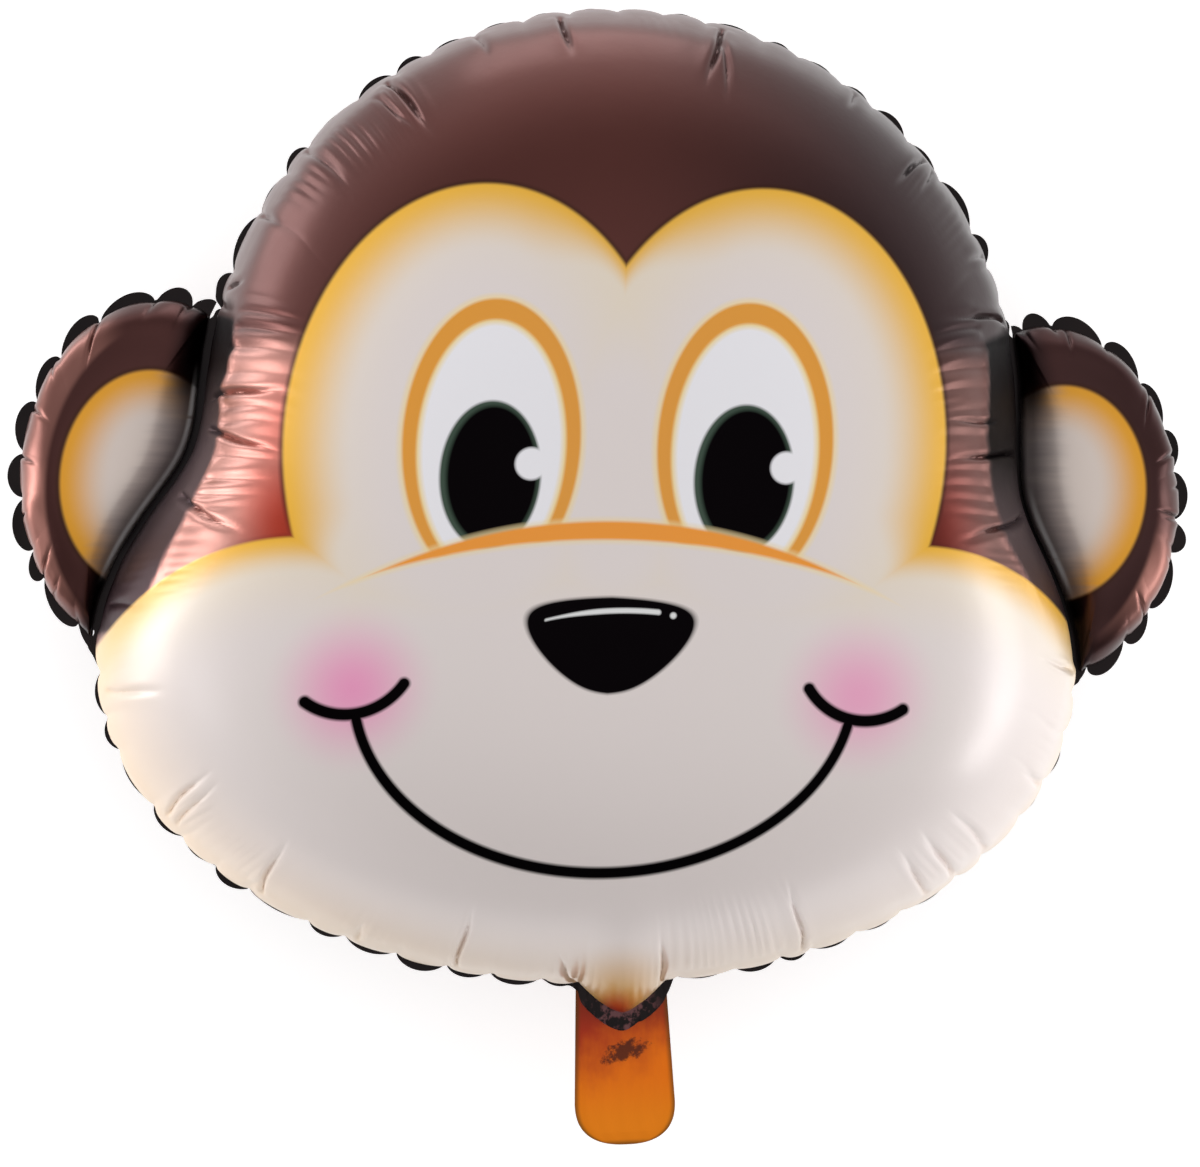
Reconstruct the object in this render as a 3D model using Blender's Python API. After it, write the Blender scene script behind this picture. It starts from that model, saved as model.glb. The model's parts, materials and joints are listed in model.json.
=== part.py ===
"""An inflated foil balloon in the shape of a monkey's head, lying on its back with its face up.

It is two foil sheets, welded together round the rim and along the inner edge of each ear.
Each sheet is one solid from the flat weld plane out to its own bulging surface.
Metres, +Z up out of the face, +Y towards the top of the head, +X to the viewer's right.
"""

import math
import random

import bmesh
import bpy
from mathutils import Vector
from mathutils.geometry import delaunay_2d_cdt

# Head, seen from the front. The middle of the head is where its two domes are highest.
CROWN_HALF_WIDTH = 0.2151
CROWN_HALF_HEIGHT = 0.2070
CROWN_RISE = 0.0780  # crown's centre above the middle of the head
CROWN_SHIFT = 0.0041  # and to the side of it
MUZZLE_HALF_WIDTH = 0.2616
MUZZLE_HALF_HEIGHT = 0.1670
MUZZLE_DROP = 0.0706  # muzzle's centre below the middle of the head
MUZZLE_SHIFT = -0.0062
WAIST_FILLET = 0.0330  # softens the two hollows where the crown meets the muzzle
HEAD_HALF_DEPTH = 0.147  # weld plane to the top of either dome
REST_SPOT_RADIUS = 0.045  # flat spot in the back dome that it lies on

# Ears: an ellipse each, with the part that the head covers left off.
EAR_HALF_WIDTH = 0.0740
EAR_HALF_HEIGHT = 0.0970
EAR_CENTRE_OUT = 0.2394  # ellipse's centre, sideways from the middle of the head
EAR_CENTRE_UP = 0.0262
EAR_HALF_DEPTH = 0.036
EAR_CORNER_FILLET = 0.007

# Welds: the flat margin round the rim, and the strip between each ear and the head.
EAR_WELD_WIDTH = 0.0045
HEAD_MARGIN = 0.0045  # how far the margin reaches past the head's bulge
EAR_MARGIN = 0.0085
PINCHED_MARGIN = 0.4  # share of the margin that still shows at a pinch
FOIL_THICKNESS = 0.0006  # one welded sheet, thicker than real foil so that it stays a solid
SHEET_GAP = 0.0003

# Puckers: the rim gathers into lobes with a pinch between each two.
LOBE_PITCH = 0.0262
PINCH_IN = 0.0036  # how far a pinch draws the rim in
PINCH_FADE = 0.016  # how far in from the rim the pinch still shows
WELD_PINCH_SHARE = 0.2  # of a free edge's pinches, those along an ear's weld
CREASE_DEPTH = 0.0075  # how deep the crease is that runs in from a pinch
CREASE_REACH = 0.085  # how far in from the rim it has faded away
LOBE_JITTER = 0.22  # unevenness of the lobes, as a share of their pitch
LOBE_FULLNESS = 0.7  # power of the sine between two pinches: lower is fuller
FEWEST_LOBES = 8
POINTS_A_LOBE = 4
ROUNDING = 0.8  # how far the rings take on a circle's shape by the middle of a dome

# Inflation tail, with the neck that joins it to the head.
TAIL_WIDTH = 0.0520
TAIL_LENGTH = 0.0885  # past the bottom of the muzzle
TAIL_FLARE = 0.0055  # how much wider it is at its lower end
TAIL_OFFSET = 0.0166  # to the side of the middle of the head
TAIL_LEAN_DEG = 3.4
TAIL_CORNER = 0.0215
TAIL_WELD = 0.0040
TAIL_SLOPE = 0.0020  # run of the step from the weld up to the tail's flat face
TAIL_HALF_DEPTH = 0.0014
TAIL_SIDE_STEPS = 5
NECK_HALF_WIDTH = 0.0200
NECK_LENGTH = 0.0150
NECK_FADE = 12  # power of the share of the way out by which the neck's bulge fades
NECK_TO_FACE = 0.0080  # from the tip of the neck to the tail's flat face

CURVE_STEPS = 400  # in the sum that gives the height of an inflated disc

# Rings from the rim to the middle, as shares of the way out, and the points each one has
# as a share of the rim's points.
HEAD_RINGS = ((1.0, 1), (0.986, 1), (0.945, 1), (0.875, 2), (0.77, 2), (0.63, 4), (0.46, 4), (0.30, 8))
EAR_RINGS = ((1.0, 1), (0.955, 1), (0.84, 2), (0.66, 2), (0.42, 4))

BROWN = (0.105, 0.046, 0.034)
CREAM = (0.70, 0.64, 0.55)


def foil_curve(share_out):
    """Height of an inflated foil disc, 1 in its middle and 0 at its rim."""
    return CURVE[min(CURVE_STEPS, round(share_out * CURVE_STEPS))]


def inflated_disc_curve():
    """The height at each step from the middle to the rim, summed inwards from the rim.

    The slope at a share s of the radius is s squared over the root of 1 - s to the fourth.
    Steps are even in the angle whose sine is s, which keeps the sum good at the steep rim.
    """
    heights = [0.0] * (CURVE_STEPS + 1)
    for step in range(CURVE_STEPS - 1, -1, -1):
        low = math.asin(step / CURVE_STEPS)
        high = math.asin((step + 1) / CURVE_STEPS)
        middle = math.sin((low + high) / 2)
        heights[step] = heights[step + 1] + (high - low) * middle**2 / math.sqrt(1 + middle**2)
    return [height / heights[0] for height in heights]


CURVE = inflated_disc_curve()


def unit(angle):
    return Vector((math.cos(angle), math.sin(angle)))


def ray_to_ellipse(start, angle, centre, half_width, half_height):
    """How far a ray runs to the far side of an upright ellipse, or 0 if it misses."""
    x, y = math.cos(angle) / half_width, math.sin(angle) / half_height
    u, v = (start.x - centre.x) / half_width, (start.y - centre.y) / half_height
    a, b, c = x * x + y * y, x * u + y * v, u * u + v * v - 1
    inside_root = b * b - a * c
    return max(0.0, (math.sqrt(inside_root) - b) / a) if inside_root > 0 else 0.0


def soft_max(a, b, blend):
    return (a + b + math.hypot(a - b, blend)) / 2


def soft_min(a, b, blend):
    return (a + b - math.hypot(a - b, blend)) / 2


MIDDLE = Vector((0, 0))
CROWN_CENTRE = Vector((CROWN_SHIFT, CROWN_RISE))
MUZZLE_CENTRE = Vector((MUZZLE_SHIFT, -MUZZLE_DROP))


def head_radius(angle):
    """The smooth rim of the head's bulge, from the middle of the head."""
    crown = ray_to_ellipse(MIDDLE, angle, CROWN_CENTRE, CROWN_HALF_WIDTH, CROWN_HALF_HEIGHT)
    muzzle = ray_to_ellipse(MIDDLE, angle, MUZZLE_CENTRE, MUZZLE_HALF_WIDTH, MUZZLE_HALF_HEIGHT)
    return soft_max(crown, muzzle, WAIST_FILLET)


TAIL_DIRECTION = math.atan2(-MUZZLE_DROP - MUZZLE_HALF_HEIGHT, TAIL_OFFSET)
TAIL_ROOT = unit(TAIL_DIRECTION) * head_radius(TAIL_DIRECTION)


def neck_reach(angle):
    """How far the neck carries the rim out past the head, along the ray from the middle."""
    neck = ray_to_ellipse(MIDDLE, angle, TAIL_ROOT, NECK_HALF_WIDTH, NECK_LENGTH)
    return max(0.0, neck - head_radius(angle))


def past_head(point):
    """How far a point is outside the rim of head and neck, along the ray from the middle."""
    angle = math.atan2(point.y, point.x)
    return point.length - head_radius(angle) - neck_reach(angle)


def ear_middle(side):
    """The middle of the ear's bulge: halfway from the head's rim to the ear's outer edge."""
    level = Vector((side * EAR_CENTRE_OUT, EAR_CENTRE_UP))
    inner = level.normalized() * (head_radius(math.atan2(level.y, level.x)) + EAR_WELD_WIDTH)
    outer = Vector((side * (EAR_CENTRE_OUT + EAR_HALF_WIDTH), EAR_CENTRE_UP))
    return (inner + outer) / 2


def ray_to_head(start, angle, longest):
    """How far a ray runs from inside the ear to the weld strip along the head."""
    steps, halvings = 60, 16
    near = 0.0
    far = longest / steps
    while past_head(start + unit(angle) * far) > EAR_WELD_WIDTH:
        near, far = far, far + longest / steps
        if far > longest:
            return 2 * longest
    for _ in range(halvings):
        tried = (near + far) / 2
        if past_head(start + unit(angle) * tried) > EAR_WELD_WIDTH:
            near = tried
        else:
            far = tried
    return near


def ear_reaches(side, angle):
    """From the ear's own middle, how far it is to the ear's outer edge and to its weld."""
    start = ear_middle(side)
    centre = Vector((side * EAR_CENTRE_OUT, EAR_CENTRE_UP))
    outer = ray_to_ellipse(start, angle, centre, EAR_HALF_WIDTH, EAR_HALF_HEIGHT)
    return outer, ray_to_head(start, angle, EAR_HALF_WIDTH + EAR_HALF_HEIGHT)


def ear_radius(side, angle):
    """The smooth rim of an ear's bulge, from the ear's own middle."""
    return soft_min(*ear_reaches(side, angle), EAR_CORNER_FILLET)


def ear_pinch(side, angle):
    """How strongly an ear's rim gathers: fully at its free edge, hardly along its weld."""
    outer, weld = ear_reaches(side, angle)
    return 1.0 if outer < weld else WELD_PINCH_SHARE


class Bulge:
    """A domed chamber: its middle, its smooth rim and the lobes along that rim."""

    def __init__(self, middle, radius_at, half_depth, seed, extra_at=None, pinch_at=None):
        self.middle = middle
        self.radius_at = radius_at
        self.half_depth = half_depth
        self.angles, self.waves = self.lobed_angles(seed)
        self.radii = [radius_at(angle) for angle in self.angles]
        self.extras = [extra_at(angle) if extra_at else 0.0 for angle in self.angles]
        self.pinches = [pinch_at(angle) if pinch_at else 1.0 for angle in self.angles]
        self.mean_radius = sum(self.radii) / len(self.radii)

    def lobed_angles(self, seed):
        """Angles of the rim's points, evenly spread over lobes of about one pitch each.

        With each angle comes its wave: 0 at a pinch and 1 at the middle of a lobe.
        """
        fine = 1440
        turn = [math.pi / 2 + 2 * math.pi * i / fine for i in range(fine + 1)]
        points = [unit(angle) * self.radius_at(angle) for angle in turn]
        run = [0.0]
        for a, b in zip(points, points[1:]):
            run.append(run[-1] + (b - a).length)
        lobes = max(FEWEST_LOBES, round(run[-1] / LOBE_PITCH))
        chance = random.Random(seed)
        ends = [run[-1] * (i + LOBE_JITTER * chance.uniform(-1, 1)) / lobes for i in range(lobes)]
        ends[0] = 0.0
        ends.append(run[-1])
        angles, waves, at = [], [], 0
        for start, end in zip(ends, ends[1:]):
            for i in range(POINTS_A_LOBE):
                distance = start + (end - start) * i / POINTS_A_LOBE
                while run[at + 1] < distance:
                    at += 1
                part = (distance - run[at]) / (run[at + 1] - run[at])
                angles.append(turn[at] + (turn[at + 1] - turn[at]) * part)
                waves.append(math.sin(math.pi * i / POINTS_A_LOBE) ** LOBE_FULLNESS)
        return angles, waves

    def welded_edge(self, margin):
        """The outer edge of the weld round this dome, pinched as the rim is."""
        edge = []
        for i, wave in enumerate(self.waves):
            reach = self.radii[i] + self.extras[i]
            reach -= (1 - wave) * self.pinches[i] * PINCH_IN
            reach += margin * (PINCHED_MARGIN + (1 - PINCHED_MARGIN) * wave)
            edge.append(self.middle + unit(self.angles[i]) * reach)
        return edge

    def ring(self, share, every):
        """One ring of the dome as (plan point, height) pairs, rounder the nearer the middle."""
        found = []
        for i in range(0, len(self.angles), every):
            rim = self.radii[i] + ROUNDING * (1 - share) * (self.mean_radius - self.radii[i])
            inset = (1 - share) * self.radii[i]
            valley = (1 - self.waves[i]) * self.pinches[i]
            reach = share * rim - valley * PINCH_IN * math.exp(-inset / PINCH_FADE)
            reach += self.extras[i] * share**NECK_FADE
            height = self.half_depth * foil_curve(share)
            crease = valley * CREASE_DEPTH * max(0.0, 1 - inset / CREASE_REACH) ** 2
            point = self.middle + unit(self.angles[i]) * reach
            found.append((point, FOIL_THICKNESS + max(0.0, height - crease)))
        return found


HEAD = Bulge(MIDDLE, head_radius, HEAD_HALF_DEPTH, 3, neck_reach)
EARS = [
    Bulge(
        ear_middle(side),
        lambda angle, side=side: ear_radius(side, angle),
        EAR_HALF_DEPTH,
        seed,
        pinch_at=lambda angle, side=side: ear_pinch(side, angle),
    )
    for side, seed in ((-1, 5), (1, 8))
]


def tail_outline(inset, top):
    """The tail's outline, down its left side and up its right side, from so far below its root."""
    half_top = TAIL_WIDTH / 2 - inset
    half_end = half_top + TAIL_FLARE / 2
    straight = TAIL_LENGTH - TAIL_CORNER
    corner = TAIL_CORNER - inset
    left = []
    for i in range(TAIL_SIDE_STEPS):
        down = top + (straight - top) * i / TAIL_SIDE_STEPS
        left.append(Vector((-half_top - (half_end - half_top) * down / straight, -down)))
    for i in range(TAIL_SIDE_STEPS + 1):
        turn = math.pi + i * math.pi / 2 / TAIL_SIDE_STEPS
        left.append(Vector((corner - half_end, -straight)) + unit(turn) * corner)
    points = left + [Vector((-point.x, point.y)) for point in reversed(left)]
    lean = math.radians(TAIL_LEAN_DEG)
    across, up = unit(lean), unit(lean + math.pi / 2)
    return [TAIL_ROOT + across * point.x + up * point.y for point in points]


def rim_outline():
    """The outer edge of the welded sheets: round the head, with a detour for each ear and the tail."""
    outline = HEAD.welded_edge(HEAD_MARGIN)
    for loop in (tail_outline(0, 0), *(ear.welded_edge(EAR_MARGIN) for ear in EARS)):
        detour = run_outside_head(loop)
        first, last = nearest(outline, detour[0]), nearest(outline, detour[-1])
        outline = outline[:first] + detour + outline[last + 1 :]
    return outline


def nearest(points, target):
    return min(range(len(points)), key=lambda i: (points[i] - target).length)


def run_outside_head(loop):
    """The longest unbroken run of a loop's points that lies outside the head's welded margin."""
    outside = [past_head(point) > HEAD_MARGIN for point in loop]
    starts = [i for i, out in enumerate(outside) if out and not outside[i - 1]]
    runs = []
    for start in starts:
        turned = outside[start:] + outside[:start]
        length = turned.index(False)
        runs.append((loop[start:] + loop[:start])[:length])
    return max(runs, key=len)


def sheet_loops(flat_spot):
    """Every loop that a sheet's surface passes through, as (plan point, height) pairs."""
    loops = [[(p, FOIL_THICKNESS) for p in rim_outline()]]
    for share, every in HEAD_RINGS:
        loops.append(HEAD.ring(share, every))
    if flat_spot:
        share = REST_SPOT_RADIUS / HEAD.mean_radius
        loops.append(HEAD.ring(share, 8))
    for ear in EARS:
        for share, every in EAR_RINGS:
            loops.append(ear.ring(share, every))
    face_top = NECK_LENGTH + NECK_TO_FACE
    for inset, height in ((0, FOIL_THICKNESS), (TAIL_SLOPE, TAIL_HALF_DEPTH)):
        face = tail_outline(TAIL_WELD + inset, face_top + inset)
        loops.append([(point, height) for point in face])
    return loops


def sheet_tops(flat_spot):
    """The single highest point of each dome that comes to one."""
    tops = [(ear.middle, FOIL_THICKNESS + EAR_HALF_DEPTH) for ear in EARS]
    if not flat_spot:
        tops.append((MIDDLE, FOIL_THICKNESS + HEAD_HALF_DEPTH))
    return tops


def sheet_mesh(name, side, flat_spot):
    """One sheet as a closed solid: its surface, the flat weld plane under it and the rim between."""
    points, heights, edges = [], [], []
    for loop in sheet_loops(flat_spot):
        first = len(points)
        points += [point for point, _ in loop]
        heights += [height for _, height in loop]
        edges += [(first + i, first + (i + 1) % len(loop)) for i in range(len(loop))]
    for point, height in sheet_tops(flat_spot):
        points.append(point)
        heights.append(height)
    inside_only = 1
    laid, _, faces, sources, _, _ = delaunay_2d_cdt(points, edges, [], inside_only, 1e-6)
    bm = bmesh.new()
    for point, source in zip(laid, sources):
        bm.verts.new((point.x, point.y, side * heights[source[0]]))
    bm.verts.ensure_lookup_table()
    for face in faces:
        bm.faces.new([bm.verts[i] for i in face])
    rim = [edge for edge in bm.edges if edge.is_boundary]
    wall = bmesh.ops.extrude_edge_only(bm, edges=rim)["geom"]
    for item in wall:
        if isinstance(item, bmesh.types.BMVert):
            item.co.z = 0
    bmesh.ops.edgeloop_fill(bm, edges=[edge for edge in bm.edges if edge.is_boundary])
    bmesh.ops.recalc_face_normals(bm, faces=bm.faces)
    mesh = bpy.data.meshes.new(name)
    bm.to_mesh(mesh)
    bm.free()
    mesh.shade_smooth()
    mesh.set_sharp_from_angle(angle=math.radians(50))
    return mesh


def foil(name, colour):
    """Printed foil: a satin metallic ink."""
    material = bpy.data.materials.new(name)
    material.use_nodes = True
    shader = material.node_tree.nodes["Principled BSDF"]
    shader.inputs["Base Color"].default_value = (*colour, 1)
    shader.inputs["Metallic"].default_value = 0.6
    shader.inputs["Roughness"].default_value = 0.35
    return material


def add_sheet(name, side, flat_spot, material, parent):
    sheet = bpy.data.objects.new(name, sheet_mesh(name, side, flat_spot))
    sheet.data.materials.append(material)
    sheet.location.z = side * SHEET_GAP / 2
    sheet.parent = parent
    bpy.context.scene.collection.objects.link(sheet)


def build():
    for old in list(bpy.data.objects):
        bpy.data.objects.remove(old)
    outline = rim_outline()
    across = [point.x for point in outline]
    along = [point.y for point in outline]
    spot_share = REST_SPOT_RADIUS / HEAD.mean_radius
    resting_depth = SHEET_GAP / 2 + FOIL_THICKNESS + HEAD_HALF_DEPTH * foil_curve(spot_share)
    middle = bpy.data.objects.new("weld_plane", None)
    middle.location.x = -(min(across) + max(across)) / 2
    middle.location.y = -(min(along) + max(along)) / 2
    middle.location.z = resting_depth
    bpy.context.scene.collection.objects.link(middle)
    add_sheet("front_sheet", 1, False, foil("printed_front", CREAM), middle)
    add_sheet("back_sheet", -1, True, foil("plain_back", BROWN), middle)


build()
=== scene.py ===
# Foil balloon shaped as a monkey's head: printed film, puckered rim, black welded margin and tail.
# Metres, +Z up out of the face, +Y towards the top of the head, +X to the viewer's right.
import json
import math
import random
from functools import partial

import bmesh
import bpy
import numpy as np
from mathutils import Matrix, Vector


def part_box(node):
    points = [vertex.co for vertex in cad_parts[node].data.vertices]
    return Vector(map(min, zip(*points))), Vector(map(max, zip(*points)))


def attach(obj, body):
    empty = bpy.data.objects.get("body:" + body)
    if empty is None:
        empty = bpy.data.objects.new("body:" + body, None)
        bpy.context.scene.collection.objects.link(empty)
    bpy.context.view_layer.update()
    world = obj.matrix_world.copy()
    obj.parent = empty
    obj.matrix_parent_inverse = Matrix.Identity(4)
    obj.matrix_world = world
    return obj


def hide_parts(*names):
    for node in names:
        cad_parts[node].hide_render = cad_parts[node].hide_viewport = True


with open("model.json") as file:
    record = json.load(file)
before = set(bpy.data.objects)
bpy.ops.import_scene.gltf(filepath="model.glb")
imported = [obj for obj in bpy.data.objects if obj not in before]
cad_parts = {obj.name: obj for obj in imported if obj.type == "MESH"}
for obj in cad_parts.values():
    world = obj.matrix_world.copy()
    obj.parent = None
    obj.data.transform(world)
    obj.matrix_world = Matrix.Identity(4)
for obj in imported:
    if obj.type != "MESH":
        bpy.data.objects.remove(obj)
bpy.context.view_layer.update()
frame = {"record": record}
print("frame loaded")

# Plan of the balloon, the same sizes as the solids have
head = {
    "crownHalfWidth": 0.2151,
    "crownHalfHeight": 0.2070,
    "crownRise": 0.0780,
    "crownShift": 0.0041,
    "muzzleHalfWidth": 0.2616,
    "muzzleHalfHeight": 0.1670,
    "muzzleDrop": 0.0706,
    "muzzleShift": -0.0062,
    "waistFillet": 0.0330,
    "halfDepth": 0.1470,
    "margin": 0.0045,  # welded film that sticks out past the bulge
    "neckHalfWidth": 0.0235,
    "neckLength": 0.0165,
    "neckFade": 12,
    "neckWeld": 0.0105,  # width of the dark weld round the neck
    "neckLift": 0.0019,  # that weld lies on top of the tail
    "tailShift": 0.0166,  # the tail's root, to the side of the middle of the head
    "lobeSeed": 3,
}
ear = {
    "halfWidth": 0.0740,
    "halfHeight": 0.0970,
    "centreOut": 0.2394,
    "centreUp": 0.0262,
    "halfDepth": 0.0360,
    "cornerFillet": 0.007,
    "weldWidth": 0.0045,  # flat strip between an ear and the head
    "margin": 0.0085,
    "weldMargin": 0.0020,
    "lobeSeeds": {-1: 5, 1: 8},
}
rimLobes = {
    "pitch": 0.0262,
    "jitter": 0.22,
    "fewest": 8,
    "pinchIn": 0.0036,
    "pinchReach": 0.016,  # how far in the rim is still drawn in at a pinch
    "overhangReach": 0.030,
    "weldFade": 0.010,  # the film needs this much to swell past its weld
    "weldThickness": 0.0009,
    "rounding": 0.45,  # how fast the corners of the rim fade out towards the middle of a dome
}

restMount = next(m for m in frame["record"]["mounts"] if m["name"] == "back_rest")
middleX, middleY = restMount["pos_m"][0], restMount["pos_m"][1]
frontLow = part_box("front_sheet")[0]
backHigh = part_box("back_sheet")[1]
weldZ = (frontLow[2] + backHigh[2]) / 2
filmLift = 0.0007  # the film starts this far off the weld plane


def rayToEllipse(angles, centreX, centreY, halfWidth, halfHeight, startX=0.0, startY=0.0):
    x, y = np.cos(angles) / halfWidth, np.sin(angles) / halfHeight
    u, v = (startX - centreX) / halfWidth, (startY - centreY) / halfHeight
    a, b, c = x * x + y * y, x * u + y * v, u * u + v * v - 1
    root = np.sqrt(np.maximum(b * b - a * c, 0))
    return np.where(b * b > a * c, np.maximum((root - b) / a, 0), 0)


def headRadius(angles):
    crown = rayToEllipse(
        angles, head["crownShift"], head["crownRise"], head["crownHalfWidth"], head["crownHalfHeight"]
    )
    muzzle = rayToEllipse(
        angles, head["muzzleShift"], -head["muzzleDrop"], head["muzzleHalfWidth"], head["muzzleHalfHeight"]
    )
    return (crown + muzzle + np.hypot(crown - muzzle, head["waistFillet"])) / 2


def earMiddle(side):
    level = np.array([side * ear["centreOut"], ear["centreUp"]])
    rim = headRadius(np.arctan2(level[1], level[0])) + ear["weldWidth"]
    inner = level / np.hypot(*level) * rim
    outer = np.array([side * (ear["centreOut"] + ear["halfWidth"]), ear["centreUp"]])
    return (inner + outer) / 2


def earReaches(side, angles):
    # from the ear's middle to its free edge, and to the weld along the head
    start = earMiddle(side)
    outer = rayToEllipse(
        angles, side * ear["centreOut"], ear["centreUp"], ear["halfWidth"], ear["halfHeight"], *start
    )
    steps = np.linspace(0, ear["halfWidth"] + ear["halfHeight"], 700)
    x = start[0] + np.cos(angles)[:, None] * steps
    y = start[1] + np.sin(angles)[:, None] * steps
    clear = np.hypot(x, y) - headRadius(np.arctan2(y, x)) > ear["weldWidth"]
    first = np.argmin(clear, axis=1)
    weld = np.where(clear.all(axis=1), 2 * steps[-1], steps[first])
    return outer, weld


def smoothStep(low, high, value):
    share = np.clip((value - low) / (high - low), 0, 1)
    return share * share * (3 - 2 * share)


def turnedBy(angles, at):
    return (angles - at + math.pi) % (2 * math.pi) - math.pi


def stretchAt(angles, at, half):
    # 1 on the stretch of rim round an angle in degrees, and 0 more than half (in radians) away
    return np.exp(-((turnedBy(angles, math.radians(at)) / half) ** 4))


def foilHeight(share):
    # height of an inflated foil disc, 1 in the middle and 0 at the rim
    turn = np.linspace(0, math.pi / 2, 2001)
    slope = np.sin(turn) ** 2 / np.sqrt(1 + np.sin(turn) ** 2)
    run = np.concatenate([[0], np.cumsum((slope[1:] + slope[:-1]) / 2)])
    return np.interp(share, np.sin(turn), 1 - run / run[-1])


class Dome:
    # One bulge of film: its middle, smooth rim, lobes and wrinkles. Angles run from seamAngle round.
    def __init__(self, middle, radiusAt, halfDepth, seed, seamAngle, pinchAt, neckAt=np.zeros_like):
        self.middle, self.radiusAt, self.halfDepth = middle, radiusAt, halfDepth
        self.seamAngle, self.pinchAt, self.neckAt = seamAngle, pinchAt, neckAt
        self.fineAngles = math.pi / 2 + np.linspace(0, 2 * math.pi, 1441)
        radii = radiusAt(self.fineAngles)
        x, y = radii * np.cos(self.fineAngles), radii * np.sin(self.fineAngles)
        self.fineRun = np.concatenate([[0], np.cumsum(np.hypot(np.diff(x), np.diff(y)))])
        self.rimLength = self.fineRun[-1]
        chance = random.Random(seed)
        lobes = max(rimLobes["fewest"], round(self.rimLength / rimLobes["pitch"]))
        ends = [
            self.rimLength * (i + rimLobes["jitter"] * chance.uniform(-1, 1)) / lobes for i in range(lobes)
        ]
        ends[0] = 0.0
        self.lobeEnds = np.array(ends + [self.rimLength])

    def runAt(self, angles):
        turned = (angles - math.pi / 2) % (2 * math.pi) + math.pi / 2
        return np.interp(turned, self.fineAngles, self.fineRun)

    def lobesAt(self, angles):
        # which lobe each angle is in, and how far through it, 0 to 1
        run = self.runAt(angles)
        which = np.clip(np.searchsorted(self.lobeEnds, run, side="right") - 1, 0, len(self.lobeEnds) - 2)
        low, high = self.lobeEnds[which], self.lobeEnds[which + 1]
        return which, np.clip((run - low) / (high - low), 0, 1)

    def plan(self, angles, reach):
        return self.middle[0] + np.cos(angles) * reach, self.middle[1] + np.sin(angles) * reach

    def draws(self, chance, low, high):
        # an uneven value for each lobe
        return np.array([chance.uniform(low, high) for _ in self.lobeEnds])


tailAngle = math.atan2(-head["muzzleDrop"] - head["muzzleHalfHeight"], head["tailShift"])
tailRoot = headRadius(np.array([tailAngle]))[0]  # how far out the tail starts
tailRootX, tailRootY = tailRoot * math.cos(tailAngle), tailRoot * math.sin(tailAngle)


def acrossNeck(angles):
    # how far round from the middle of the neck, as a share of its half width
    return np.abs(turnedBy(angles, tailAngle)) * tailRoot / head["neckHalfWidth"]


def neckAt(angles):
    # the neck carries the head's rim out into a short funnel over the tail
    return head["neckLength"] * np.clip(1 - acrossNeck(angles) ** 1.5, 0, 1) ** 1.1


def neckShare(angles):
    # 1 at the neck and 0 a little way round from it
    return smoothStep(1.25, 0.85, acrossNeck(angles))


def earCloseness(angles):
    # less than 1 where the head's rim runs through an ear's oval
    reach = headRadius(angles) + ear["weldWidth"]
    across = (np.abs(reach * np.cos(angles)) - ear["centreOut"]) / ear["halfWidth"]
    return np.hypot(across, (reach * np.sin(angles) - ear["centreUp"]) / ear["halfHeight"])


def earCover(angles):
    # 1 where an ear is welded to the head's rim, 0 where the rim is free
    return smoothStep(1.0, 0.94, earCloseness(angles))


def headPinch(angles):
    # how strongly the rim gathers: fully where it is free, hardly at the ears and the neck
    return (1 - 0.9 * earCover(angles)) * (1 - 0.85 * neckShare(angles))


def earPinch(angles, side):
    outer, weld = earReaches(side, angles)
    return np.where(outer < weld, 1.0, 0.2)


def earRadius(angles, side):
    outer, weld = earReaches(side, angles)
    return (outer + weld - np.hypot(outer - weld, ear["cornerFillet"])) / 2


def earDome(side):
    seam = 0.0 if side < 0 else math.pi
    radiusAt, pinchAt = partial(earRadius, side=side), partial(earPinch, side=side)
    return Dome(earMiddle(side), radiusAt, ear["halfDepth"], ear["lobeSeeds"][side], seam, pinchAt)


headDome = Dome(np.zeros(2), headRadius, head["halfDepth"], head["lobeSeed"], tailAngle, headPinch, neckAt)
earDomes = {side: earDome(side) for side in (-1, 1)}
print("plan worked out")

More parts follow.
